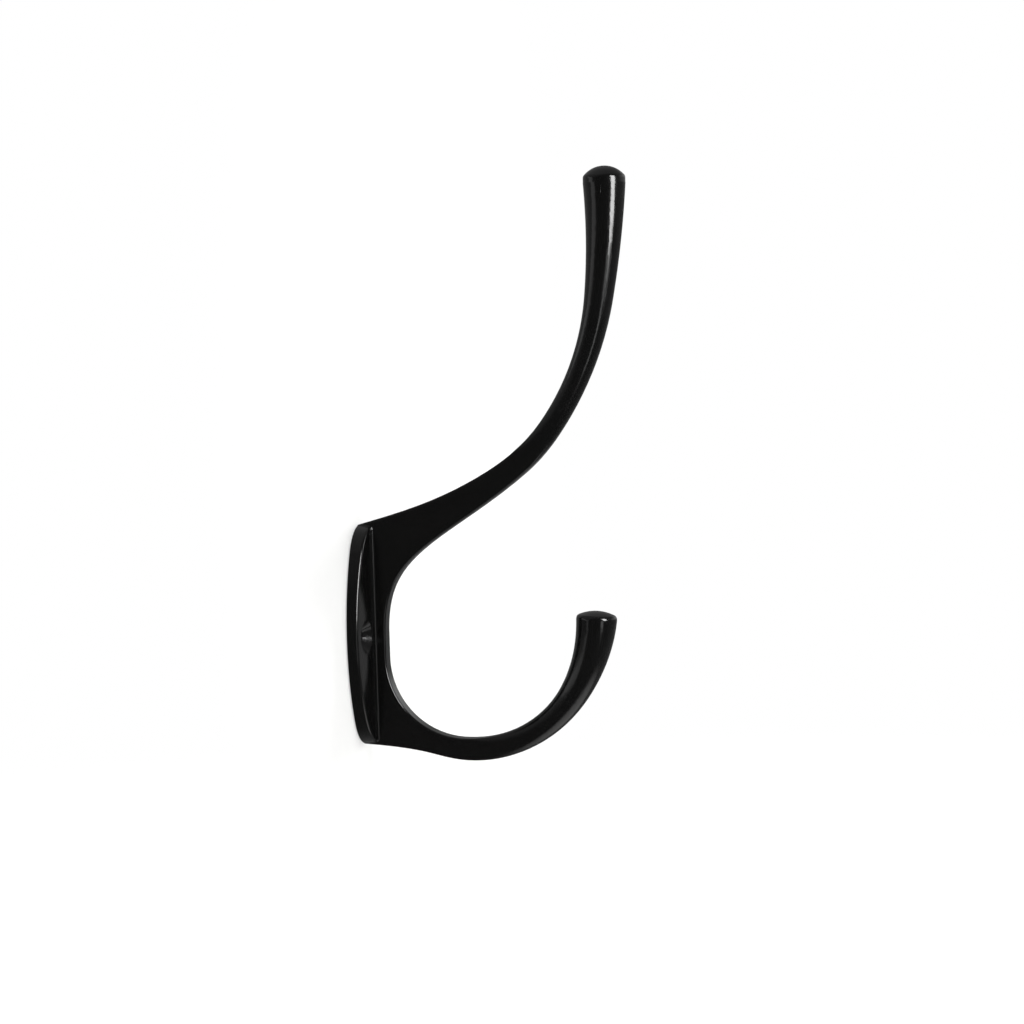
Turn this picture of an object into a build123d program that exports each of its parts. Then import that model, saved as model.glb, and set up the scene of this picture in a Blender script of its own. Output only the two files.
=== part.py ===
"""A coat and hat hook, die-cast in one piece: an oval wall plate with two countersunk screw holes,
a flat-sided rib down its middle, a long prong that curves out and up, and a short prong below it.

Millimetres. The wall is the plane x = 0, x points out of the wall, z up and y across.
The origin is on the wall at the middle of the plate."""

from build123d import *
from math import atan2, cos, degrees, hypot, radians, sin, sqrt, tan
import os

# Wall plate: an oval with drafted sides and a front face that is crowned across
plate_width = 27.6
plate_height = 48.8
plate_end_radius = 10.4
plate_thickness = 3.2
plate_crown = 0.8
plate_draft = 3
plate_edge_radius = 0.65

# Screw holes, one each side of the rib, for a number 8 countersunk screw
screw_spacing = 16.4
screw_hole_diameter = 4.4
countersink_diameter = 7.4
countersink_angle = 90

# Rib and the flat-sided roots of both prongs
rib_width = 4.2
rib_depth = 5.6
rib_edge_radius = 0.5
root_fillet = 0.6

# Upper prong. Its neck, where the flat sides end, is placed from the top of the plate
upper_neck_out, upper_neck_up = 37.9, 13.95
upper_neck_angle = 41.3
upper_neck_thickness = 5.1
# Its top and its throat each pass a point placed from the plate and a point placed from the neck
upper_top_from_plate, upper_top_from_neck = (14.9, 4.4), (-8.5, -2.85)
upper_throat_from_plate, upper_throat_from_neck = (11.6, -8.25), (-14.4, -13.5)
upper_root_angle = 15
upper_bends = [(39.2, 11.7), (63.4, 28.5), (173.8, 8.2)]
upper_sections = [(0.14, 5.0, 5.0, 0.8), (0.39, 5.3, 5.6, 0.97), (0.69, 6.8, 6.9, 0.98)]
upper_head_diameter = 9.3
upper_head_length = 3.7
upper_dome_radius = 5.8

# Lower prong. The lowest point of its cradle is placed from the bottom of the plate
cradle_rise = 1.1
cradle_radius = 17.9
cradle_flat = 1.45
lower_neck_thickness = 4.9
lower_bottom_point = (14.1, -1.9)
lower_root_angle = 5
lower_bends = [(26.9, 56.8), (34.3, 28.9)]
lower_sections = [(0.25, 5.3, 5.2, 0.8), (0.45, 5.75, 5.8, 0.97), (0.7, 7.0, 7.0, 0.98)]
lower_head_diameter = 9.0
lower_head_length = 1.9
lower_dome_radius = 9.5

# Ends of both prongs. The head is a hair smaller than the round end of the prong it closes
end_roundness = 0.99
head_edge_radius = 1.0
head_step = 0.02


def polar(length, angle):
    """The vector of this length at this angle, in degrees, in the plane of the sketch."""
    return Vector(length * cos(radians(angle)), length * sin(radians(angle)))


def oval(width, height, end_radius):
    """An oval of four tangent arcs."""
    half, rise = width / 2, height / 2 - end_radius
    side_radius = (rise**2 + half**2 - end_radius**2) / (2 * (half - end_radius))
    offset = side_radius - half
    meet = degrees(atan2(rise, offset))
    with BuildSketch() as sketch:
        with BuildLine():
            CenterArc((-offset, 0), side_radius, -meet, 2 * meet)
            CenterArc((0, rise), end_radius, meet, 180 - 2 * meet)
            CenterArc((offset, 0), side_radius, 180 - meet, 2 * meet)
            CenterArc((0, -rise), end_radius, 180 + meet, 180 - 2 * meet)
        make_face()
    return sketch.sketch


def curved_path(start, angle, bends):
    """Tangent arcs in the side view, one for each radius and turn, from a point and a direction."""
    with BuildLine() as path:
        at, heading = start, polar(1, angle)
        for radius, turn in bends:
            arc = JernArc(at, heading, radius, turn)
            at, heading = arc @ 1, arc % 1
    return Plane.XZ * path.wire()


def across(path, position):
    """The plane square to a prong at a share of its length, with its x direction in the side view."""
    heading = path % position
    return Plane(path @ position, x_dir=heading.cross(Vector(0, 1, 0)), z_dir=heading)


def prong(path, neck_thickness, sections, end_diameter):
    """A prong from its flat-sided neck to its round end. Its sections are (share of the length,
    thickness, width, roundness), where a roundness of 1 is fully round."""
    neck_roundness = 2 * rib_edge_radius / min(neck_thickness, rib_width)
    neck = (0, neck_thickness, rib_width, neck_roundness)
    end = (1, end_diameter, end_diameter, end_roundness)
    with BuildPart() as arm:
        for position, thickness, width, roundness in [neck, *sections, end]:
            with BuildSketch(across(path, position)):
                RectangleRounded(thickness, width, roundness * min(thickness, width) / 2)
        sweep(path=path, multisection=True)
    return arm.part


def head(path, diameter, length, dome_radius):
    """The domed end of a prong, turned about the end of its path."""
    end = across(path, 1)
    radius = diameter / 2 - head_step
    with BuildPart() as cap:
        with BuildSketch(Plane(end.origin, x_dir=end.x_dir, z_dir=Vector(0, 1, 0))):
            Rectangle(radius, length, align=(Align.MIN, Align.MIN))
            with Locations((0, length - dome_radius)):
                Circle(dome_radius, mode=Mode.INTERSECT)
            fillet(vertices().group_by(Axis.X)[-1].sort_by(Axis.Y)[-1], head_edge_radius)
        revolve(axis=Axis(end.origin, end.z_dir))
    return cap.part


crown_radius = ((plate_width / 2) ** 2 + plate_crown**2) / (2 * plate_crown)
screw_face_drop = crown_radius - sqrt(crown_radius**2 - (screw_spacing / 2) ** 2)

# Points of the side view, x out of the wall and y up
plate_top = Vector(0, plate_height / 2)
plate_bottom = -plate_top
upper_neck = plate_top + Vector(upper_neck_out, upper_neck_up)
upper_half = polar(upper_neck_thickness / 2, upper_neck_angle + 90)
cradle_bottom = Vector(rib_depth + cradle_radius, plate_bottom.Y + cradle_rise)
cradle_start = cradle_bottom + Vector(-cradle_radius, cradle_radius)
lower_half = Vector(0, lower_neck_thickness / 2)
lower_neck = cradle_bottom + Vector(cradle_flat, 0) - lower_half
side_view_ends = [Vector(0, 0), upper_neck, lower_neck]


def at_an_end(edge):
    """True for the edges at the wall and at both necks, which stay square."""
    middle = edge @ 0.5
    return any(hypot(middle.X - end.X, middle.Z - end.Y) < 0.01 for end in side_view_ends)


with BuildPart() as rib:
    with BuildSketch(Plane.XZ.offset(-rib_width / 2)):
        with BuildLine():
            Spline(
                plate_top,
                plate_top + Vector(upper_top_from_plate),
                upper_neck + Vector(upper_top_from_neck),
                upper_neck + upper_half,
                tangents=[polar(1, upper_root_angle), polar(1, upper_neck_angle)],
            )
            Line(upper_neck + upper_half, upper_neck - upper_half)
            Spline(
                upper_neck - upper_half,
                upper_neck + Vector(upper_throat_from_neck),
                plate_top + Vector(upper_throat_from_plate),
                (rib_depth, 0),
                tangents=[polar(-1, upper_neck_angle), (0, -1)],
            )
            Line((rib_depth, 0), cradle_start)
            JernArc(cradle_start, (0, -1), cradle_radius, 90)
            Line(cradle_bottom, lower_neck + lower_half)
            Line(lower_neck + lower_half, lower_neck - lower_half)
            Spline(
                lower_neck - lower_half,
                plate_bottom + Vector(lower_bottom_point),
                plate_bottom,
                tangents=[(-1, 0), polar(-1, -lower_root_angle)],
            )
            Line(plate_bottom, plate_top)
        make_face()
    extrude(amount=rib_width)
    sides = rib.faces().filter_by(Axis.Y)
    fillet([edge for edge in sides.edges() if not at_an_end(edge)], rib_edge_radius)

upper_path = curved_path(upper_neck, upper_neck_angle, upper_bends)
upper_prong = prong(upper_path, upper_neck_thickness, upper_sections, upper_head_diameter)
upper_head = head(upper_path, upper_head_diameter, upper_head_length, upper_dome_radius)

lower_path = curved_path(lower_neck, 0, lower_bends)
lower_prong = prong(lower_path, lower_neck_thickness, lower_sections, lower_head_diameter)
lower_head = head(lower_path, lower_head_diameter, lower_head_length, lower_dome_radius)

with BuildPart() as plate:
    with BuildSketch(Plane.YZ):
        add(oval(plate_width, plate_height, plate_end_radius))
    extrude(amount=plate_thickness, taper=plate_draft)
    with Locations((plate_thickness - crown_radius, 0, 0)):
        Cylinder(crown_radius, 2 * plate_height, mode=Mode.INTERSECT)
    fillet(plate.faces().sort_by(Axis.X)[-1].edges(), plate_edge_radius)

with BuildPart() as coat_hook:
    add([plate.part, rib.part, upper_prong, lower_prong, upper_head, lower_head])
    # the rib meets the face of the plate along one straight line on each side
    upright_edges = coat_hook.edges().filter_by(Axis.Z)
    foot_edges = upright_edges.filter_by_position(Axis.X, plate_thickness - plate_crown, plate_thickness)
    fillet(foot_edges, root_fillet)
    # each countersink has its full size where its axis meets the crowned face
    with Locations(Plane.YZ.offset(plate_thickness)):
        with GridLocations(screw_spacing, 0, 2, 1):
            CounterSinkHole(
                screw_hole_diameter / 2,
                countersink_diameter / 2 + screw_face_drop * tan(radians(countersink_angle / 2)),
                counter_sink_angle=countersink_angle,
            )

coat_hook.part.label = "coat_hook"
os.makedirs("parts", exist_ok=True)
export_step(coat_hook.part, "parts/coat_hook.step")
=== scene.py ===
"""A black double coat hook on a pale wall, in plain soft studio light."""
from math import cos, pi, radians, sin

import bpy
from mathutils import Matrix, Vector


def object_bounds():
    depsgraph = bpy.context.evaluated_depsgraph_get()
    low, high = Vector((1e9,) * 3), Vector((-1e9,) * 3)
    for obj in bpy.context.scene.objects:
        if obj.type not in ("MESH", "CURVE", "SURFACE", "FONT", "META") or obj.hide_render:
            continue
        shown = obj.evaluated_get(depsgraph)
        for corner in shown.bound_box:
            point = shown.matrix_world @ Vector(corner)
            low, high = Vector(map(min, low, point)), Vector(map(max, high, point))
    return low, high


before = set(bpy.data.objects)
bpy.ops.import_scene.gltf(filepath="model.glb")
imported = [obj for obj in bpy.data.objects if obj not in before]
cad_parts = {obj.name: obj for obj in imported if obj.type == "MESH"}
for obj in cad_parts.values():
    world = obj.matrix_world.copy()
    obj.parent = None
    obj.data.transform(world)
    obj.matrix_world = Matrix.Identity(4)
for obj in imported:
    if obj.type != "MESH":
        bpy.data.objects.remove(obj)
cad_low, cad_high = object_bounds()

MM = 0.001
scene = bpy.context.scene


def colour(code):
    """An sRGB hex colour as linear RGBA."""
    values = [int(code[i:i + 2], 16) / 255 for i in (1, 3, 5)]
    return [v / 12.92 if v <= 0.04045 else ((v + 0.055) / 1.055) ** 2.4 for v in values] + [1]


def node(tree, kind, sockets, **settings):
    """Adds a node. Sockets is {input: a value to set, or another node's output to link}."""
    made = tree.nodes.new(kind)
    for name, value in settings.items():
        setattr(made, name, value)
    for socket, value in sockets.items():
        if isinstance(value, bpy.types.NodeSocket):
            tree.links.new(value, made.inputs[socket])
        else:
            made.inputs[socket].default_value = value
    return made


def new_material(name):
    """A material with no nodes yet, and its node tree."""
    made = bpy.data.materials.new(name)
    made.use_nodes = True
    made.node_tree.nodes.clear()
    return made, made.node_tree


def toward(azimuth, elevation):
    """The direction from the hook to a viewer: azimuth 0 is along -Y and 90 along +X, in degrees."""
    a, e = radians(azimuth), radians(elevation)
    return Vector((sin(a) * cos(e), -cos(a) * cos(e), sin(e)))


def aim(made, target, azimuth, elevation, distance, roll):
    """Puts a lamp or a camera in the scene, away from a point, looking at it and rolled about its view."""
    direction = toward(azimuth, elevation)
    turn = direction.to_track_quat("Z", "Y").to_matrix().to_4x4()
    turn = turn @ Matrix.Rotation(radians(roll), 4, "Z")
    made.matrix_world = Matrix.Translation(target + direction * distance) @ turn
    scene.collection.objects.link(made)


# Smooth semi-gloss black stoving enamel on a zinc alloy die casting. It gives the eye a deep black
# with crisp, slightly wavy highlights, a few specks of dust in the film, and faint clouds where the
# film is thicker.
ENAMEL = colour("#080808")
ENAMEL_THIN = colour("#0e0e0e")
ENAMEL_SPECK = colour("#45423c")
ENAMEL_IOR = 1.5
ENAMEL_GLOSSIEST = 0.1
ENAMEL_DULLEST = 0.18
# The clouds take the film from its glossiest to its dullest between these two values of their noise
CLOUD_SIZE, CLOUD_DETAIL = 9 * MM, 3.0
CLOUD_LOW, CLOUD_HIGH = 0.3, 0.7
# Orange peel, and the longer waves of the casting under it
PEEL_SIZE, PEEL_DETAIL = 1.6 * MM, 1.0
PEEL_DEPTH = 0.0025 * MM
WAVE_SIZE, WAVE_DETAIL = 7 * MM, 0.0
WAVE_DEPTH = 0.02 * MM
SPECK_SPACING = 11 * MM
SPECK_RADIUS = 0.16 * MM
SPECK_HEIGHT = 0.03 * MM


def stoved_enamel():
    """The paint of the whole hook."""
    made, tree = new_material("black_stoved_enamel")
    place = node(tree, "ShaderNodeTexCoord", {}).outputs["Object"]
    clouds = node(tree, "ShaderNodeTexNoise", {
        "Vector": place,
        "Scale": 1 / CLOUD_SIZE,
        "Detail": CLOUD_DETAIL,
    })
    peel = node(tree, "ShaderNodeTexNoise", {
        "Vector": place,
        "Scale": 1 / PEEL_SIZE,
        "Detail": PEEL_DETAIL,
    })
    wave = node(tree, "ShaderNodeTexNoise", {
        "Vector": place,
        "Scale": 1 / WAVE_SIZE,
        "Detail": WAVE_DETAIL,
    })
    specks = node(tree, "ShaderNodeTexVoronoi", {"Vector": place, "Scale": 1 / SPECK_SPACING})
    # the distance is counted in cells of the speck spacing
    speck = node(tree, "ShaderNodeMapRange", {
        "Value": specks.outputs["Distance"],
        "From Min": SPECK_RADIUS / SPECK_SPACING,
        "From Max": 0.0,
    })
    film = node(tree, "ShaderNodeMixRGB", {
        "Fac": clouds.outputs["Fac"],
        "Color1": ENAMEL,
        "Color2": ENAMEL_THIN,
    })
    flecked = node(tree, "ShaderNodeMixRGB", {
        "Fac": speck.outputs["Result"],
        "Color1": film.outputs["Color"],
        "Color2": ENAMEL_SPECK,
    })
    roughness = node(tree, "ShaderNodeMapRange", {
        "Value": clouds.outputs["Fac"],
        "From Min": CLOUD_LOW,
        "From Max": CLOUD_HIGH,
        "To Min": ENAMEL_GLOSSIEST,
        "To Max": ENAMEL_DULLEST,
    })
    waves = node(tree, "ShaderNodeBump", {"Height": wave.outputs["Fac"], "Distance": WAVE_DEPTH})
    peels = node(tree, "ShaderNodeBump", {
        "Height": peel.outputs["Fac"],
        "Distance": PEEL_DEPTH,
        "Normal": waves.outputs["Normal"],
    })
    nibs = node(tree, "ShaderNodeBump", {
        "Height": speck.outputs["Result"],
        "Distance": SPECK_HEIGHT,
        "Normal": peels.outputs["Normal"],
    })
    paint = node(tree, "ShaderNodeBsdfPrincipled", {
        "Base Color": flecked.outputs["Color"],
        "Roughness": roughness.outputs["Result"],
        "IOR": ENAMEL_IOR,
        "Normal": nibs.outputs["Normal"],
    })
    node(tree, "ShaderNodeOutputMaterial", {"Surface": paint.outputs["BSDF"]})
    return made


# Places of the stage, in metres
HOOK_CENTRE = (cad_low + cad_high) / 2
WALL_GAP = 0.3 * MM
WALL_CENTRE = Vector((cad_low.x - WALL_GAP, 60 * MM, 20 * MM))
WALL_HALF_WIDTH, WALL_HALF_HEIGHT = 170 * MM, 200 * MM
FLOOR_DROP = 70 * MM
FLOOR_CENTRE = Vector((HOOK_CENTRE.x, 0, cad_low.z - FLOOR_DROP))
FLOOR_HALF = 600 * MM
# Gloss sees only the pool of light on the floor under the prongs
POOL_CENTRE = Vector((105 * MM, -10 * MM, FLOOR_CENTRE.z))
POOL_RADIUS = 25 * MM
POOL_BLUR = 60 * MM

# Matt white paper. It shows almost white and keeps a soft shadow. It fades out from a share of the way
# to its edges, where the white of the room shows through it.
PAPER = colour("#f4f4f2")
WHITE = colour("#ffffff")
PAPER_GLOW = 0.5
PAPER_EDGE = 0.35


def white_paper(one_sided):
    """Paper for a sheet whose texture coordinates run from -1 to 1. The one-sided kind is for the
    wall, which would hide the back of the hook."""
    made, tree = new_material("matt_white_paper")
    ray = node(tree, "ShaderNodeLightPath", {})
    seen = node(tree, "ShaderNodeMath", {
        0: ray.outputs["Is Camera Ray"],
        1: ray.outputs["Is Glossy Ray"],
    }, operation="ADD")
    shown = node(tree, "ShaderNodeMath", {
        0: seen.outputs[0],
        1: ray.outputs["Is Transmission Ray"],
    }, operation="ADD", use_clamp=True)
    glow = node(tree, "ShaderNodeMath", {0: shown.outputs[0], 1: PAPER_GLOW}, operation="MULTIPLY")
    matt = node(tree, "ShaderNodeBsdfDiffuse", {"Color": PAPER})
    white = node(tree, "ShaderNodeEmission", {"Color": WHITE, "Strength": 1.0})
    lit = node(tree, "ShaderNodeMixShader", {0: glow.outputs[0], 1: matt.outputs[0], 2: white.outputs[0]})
    place = node(tree, "ShaderNodeTexCoord", {}).outputs["UV"]
    reach = node(tree, "ShaderNodeVectorMath", {0: place}, operation="LENGTH")
    fade = node(tree, "ShaderNodeMapRange", {
        "Value": reach.outputs["Value"],
        "From Min": PAPER_EDGE,
        "From Max": 1.0,
    }, interpolation_type="SMOOTHSTEP")
    geometry = node(tree, "ShaderNodeNewGeometry", {})
    back = node(tree, "ShaderNodeMath", {
        0: geometry.outputs["Backfacing"],
        1: 1.0 if one_sided else 0.0,
    }, operation="MULTIPLY")
    from_pool = node(tree, "ShaderNodeVectorMath", {
        0: geometry.outputs["Position"],
        1: POOL_CENTRE,
    }, operation="DISTANCE")
    outside = node(tree, "ShaderNodeMapRange", {
        "Value": from_pool.outputs["Value"],
        "From Min": POOL_RADIUS,
        "From Max": POOL_RADIUS + POOL_BLUR,
    }, interpolation_type="SMOOTHSTEP")
    unmirrored = node(tree, "ShaderNodeMath", {
        0: outside.outputs["Result"],
        1: ray.outputs["Is Glossy Ray"],
    }, operation="MULTIPLY")
    hidden = node(tree, "ShaderNodeMath", {
        0: back.outputs[0],
        1: unmirrored.outputs[0],
    }, operation="MAXIMUM")
    gone = node(tree, "ShaderNodeMath", {
        0: fade.outputs["Result"],
        1: hidden.outputs[0],
    }, operation="MAXIMUM")
    clear = node(tree, "ShaderNodeBsdfTransparent", {})
    paper = node(tree, "ShaderNodeMixShader", {0: gone.outputs[0], 1: lit.outputs[0], 2: clear.outputs[0]})
    node(tree, "ShaderNodeOutputMaterial", {"Surface": paper.outputs[0]})
    return made


def sheet(name, centre, across, up, material):
    """A flat sheet of the stage, spanned by two half vectors."""
    corners = [(-1, -1), (1, -1), (1, 1), (-1, 1)]
    mesh = bpy.data.meshes.new(name)
    mesh.from_pydata([centre + across * u + up * v for u, v in corners], [], [(0, 1, 2, 3)])
    layer = mesh.uv_layers.new()
    for loop, corner in zip(layer.data, corners):
        loop.uv = corner
    mesh.materials.append(material)
    made = bpy.data.objects.new(name, mesh)
    scene.collection.objects.link(made)
    return made


def stage():
    """The wall behind the plate and the floor under the hook."""
    across, up = Vector((0, WALL_HALF_WIDTH, 0)), Vector((0, 0, WALL_HALF_HEIGHT))
    wall = sheet("wall", WALL_CENTRE, across, up, white_paper(True))
    # the wall shows and takes the shadow, but keeps no light from the back of the hook
    wall.visible_shadow = False
    wall.visible_diffuse = False
    wall.visible_glossy = False
    across, up = Vector((FLOOR_HALF, 0, 0)), Vector((0, FLOOR_HALF, 0))
    sheet("floor", FLOOR_CENTRE, across, up, white_paper(False))


def softbox(name, azimuth, elevation, distance, width, height, brightness, roll=0, only=None):
    """A lamp aimed at the middle of the hook, for both gloss and matt or for only one of them. In a
    mirror a brightness of 1 would be a very pale grey."""
    lamp = bpy.data.lights.new(name, "AREA")
    lamp.shape = "RECTANGLE"
    lamp.size, lamp.size_y = width, height
    lamp.energy = brightness * pi * width * height
    made = bpy.data.objects.new(name, lamp)
    aim(made, HOOK_CENTRE, azimuth, elevation, distance, roll)
    made.visible_glossy = only != "matt"
    made.visible_diffuse = only != "gloss"


def lamps():
    """All lamps, with angles in degrees and lengths in metres."""
    # a tall softbox gives the streak down the prongs, with a weak one at its foot
    softbox("softbox_right", azimuth=60.5, elevation=16, distance=0.42, width=0.158, height=0.27,
            brightness=17, roll=6, only="gloss")
    softbox("softbox_foot", azimuth=43, elevation=-13, distance=0.7, width=0.15, height=0.2,
            brightness=1.5, only="gloss")
    # a wide faint one, tilted, gives the soft light down the left of the prongs
    softbox("softbox_left", azimuth=-62, elevation=4.5, distance=0.8, width=0.95, height=0.16,
            brightness=0.6, roll=-28)
    # the fills light the paper and show in no gloss. The one at the back throws the shadow on the wall
    softbox("fill_right", azimuth=60, elevation=30, distance=0.8, width=0.6, height=0.6,
            brightness=3, only="matt")
    softbox("fill_top", azimuth=40, elevation=70, distance=0.8, width=0.6, height=0.6,
            brightness=4, only="matt")
    softbox("fill_back", azimuth=172, elevation=7, distance=0.8, width=0.2, height=0.4,
            brightness=60, only="matt")


# Room: white to the camera. What the paint mirrors of it is dim on the camera's side and lighter
# beyond the hook, with a low pale screen there on the right and a pale patch high on the left. A place
# is an azimuth and an elevation. Each grey starts at one value and is full at another: of the heading's
# Y for the far side, of its Z for the screen's foot and top, and of its cosine with the place elsewhere.
ROOM_NEAR = colour("#4c4c4c")
ROOM_FAR = colour("#707070")
FAR_START, FAR_FULL = -0.3, 0.3
SCREEN = colour("#d8d8d8")
SCREEN_PLACE = (140, 8)
SCREEN_SIDE_START, SCREEN_SIDE_FULL = 0.75, 0.92
SCREEN_FOOT_START, SCREEN_FOOT_FULL = -0.02, 0.12
SCREEN_TOP_START, SCREEN_TOP_FULL = 0.6, 0.3
PATCH = colour("#888888")
PATCH_PLACE = (-100, 45)
PATCH_START, PATCH_FULL = 0.2, 0.9


def room():
    """The world around the hook."""
    made = bpy.data.worlds.new("room")
    made.use_nodes = True
    tree = made.node_tree
    tree.nodes.clear()
    ray = node(tree, "ShaderNodeLightPath", {})
    heading = node(tree, "ShaderNodeTexCoord", {}).outputs["Generated"]
    parts = node(tree, "ShaderNodeSeparateXYZ", {0: heading})
    beyond = node(tree, "ShaderNodeMapRange", {
        "Value": parts.outputs["Y"],
        "From Min": FAR_START,
        "From Max": FAR_FULL,
    })
    to_screen = node(tree, "ShaderNodeVectorMath", {
        0: heading,
        1: toward(*SCREEN_PLACE),
    }, operation="DOT_PRODUCT")
    beside_screen = node(tree, "ShaderNodeMapRange", {
        "Value": to_screen.outputs["Value"],
        "From Min": SCREEN_SIDE_START,
        "From Max": SCREEN_SIDE_FULL,
    })
    over_foot = node(tree, "ShaderNodeMapRange", {
        "Value": parts.outputs["Z"],
        "From Min": SCREEN_FOOT_START,
        "From Max": SCREEN_FOOT_FULL,
    })
    under_top = node(tree, "ShaderNodeMapRange", {
        "Value": parts.outputs["Z"],
        "From Min": SCREEN_TOP_START,
        "From Max": SCREEN_TOP_FULL,
    })
    standing = node(tree, "ShaderNodeMath", {
        0: beside_screen.outputs["Result"],
        1: over_foot.outputs["Result"],
    }, operation="MULTIPLY")
    screen = node(tree, "ShaderNodeMath", {
        0: standing.outputs[0],
        1: under_top.outputs["Result"],
    }, operation="MULTIPLY")
    to_patch = node(tree, "ShaderNodeVectorMath", {
        0: heading,
        1: toward(*PATCH_PLACE),
    }, operation="DOT_PRODUCT")
    patch = node(tree, "ShaderNodeMapRange", {
        "Value": to_patch.outputs["Value"],
        "From Min": PATCH_START,
        "From Max": PATCH_FULL,
    }, interpolation_type="SMOOTHSTEP")
    plain = node(tree, "ShaderNodeMixRGB", {
        "Fac": beyond.outputs["Result"],
        "Color1": ROOM_NEAR,
        "Color2": ROOM_FAR,
    })
    screened = node(tree, "ShaderNodeMixRGB", {
        "Fac": screen.outputs[0],
        "Color1": plain.outputs["Color"],
        "Color2": SCREEN,
    })
    patched = node(tree, "ShaderNodeMixRGB", {
        "Fac": patch.outputs["Result"],
        "Color1": screened.outputs["Color"],
        "Color2": PATCH,
    })
    grey = node(tree, "ShaderNodeBackground", {"Color": patched.outputs["Color"], "Strength": 1.0})
    white = node(tree, "ShaderNodeBackground", {"Color": WHITE, "Strength": 1.0})
    shown = node(tree, "ShaderNodeMixShader", {
        0: ray.outputs["Is Camera Ray"],
        1: grey.outputs[0],
        2: white.outputs[0],
    })
    node(tree, "ShaderNodeOutputWorld", {"Surface": shown.outputs[0]})
    scene.world = made


# Camera: a little to the right of the hook and above it. The focal length is in pixels of the square
# picture, and the sensor is in millimetres
IMAGE_SIDE = 1024
SENSOR = 36
FOCAL_PIXELS = 3185
VIEW_AZIMUTH, VIEW_ELEVATION = 12.5, 3.0
VIEW_ROLL = -1.68
VIEW_DISTANCE = 0.7
VIEW_TARGET = Vector((34.7, 0, 26.53)) * MM


def camera():
    """The camera, at the angle and distance at which the picture is to be seen."""
    lens = bpy.data.cameras.new("camera")
    lens.sensor_width = SENSOR
    lens.lens = FOCAL_PIXELS / IMAGE_SIDE * SENSOR
    made = bpy.data.objects.new("camera", lens)
    aim(made, VIEW_TARGET, VIEW_AZIMUTH, VIEW_ELEVATION, VIEW_DISTANCE, VIEW_ROLL)
    scene.camera = made


camera()
stage()
lamps()
room()
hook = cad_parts["coat_hook"]
hook.data.materials.clear()
hook.data.materials.append(stoved_enamel())
scene.view_settings.view_transform = "Standard"
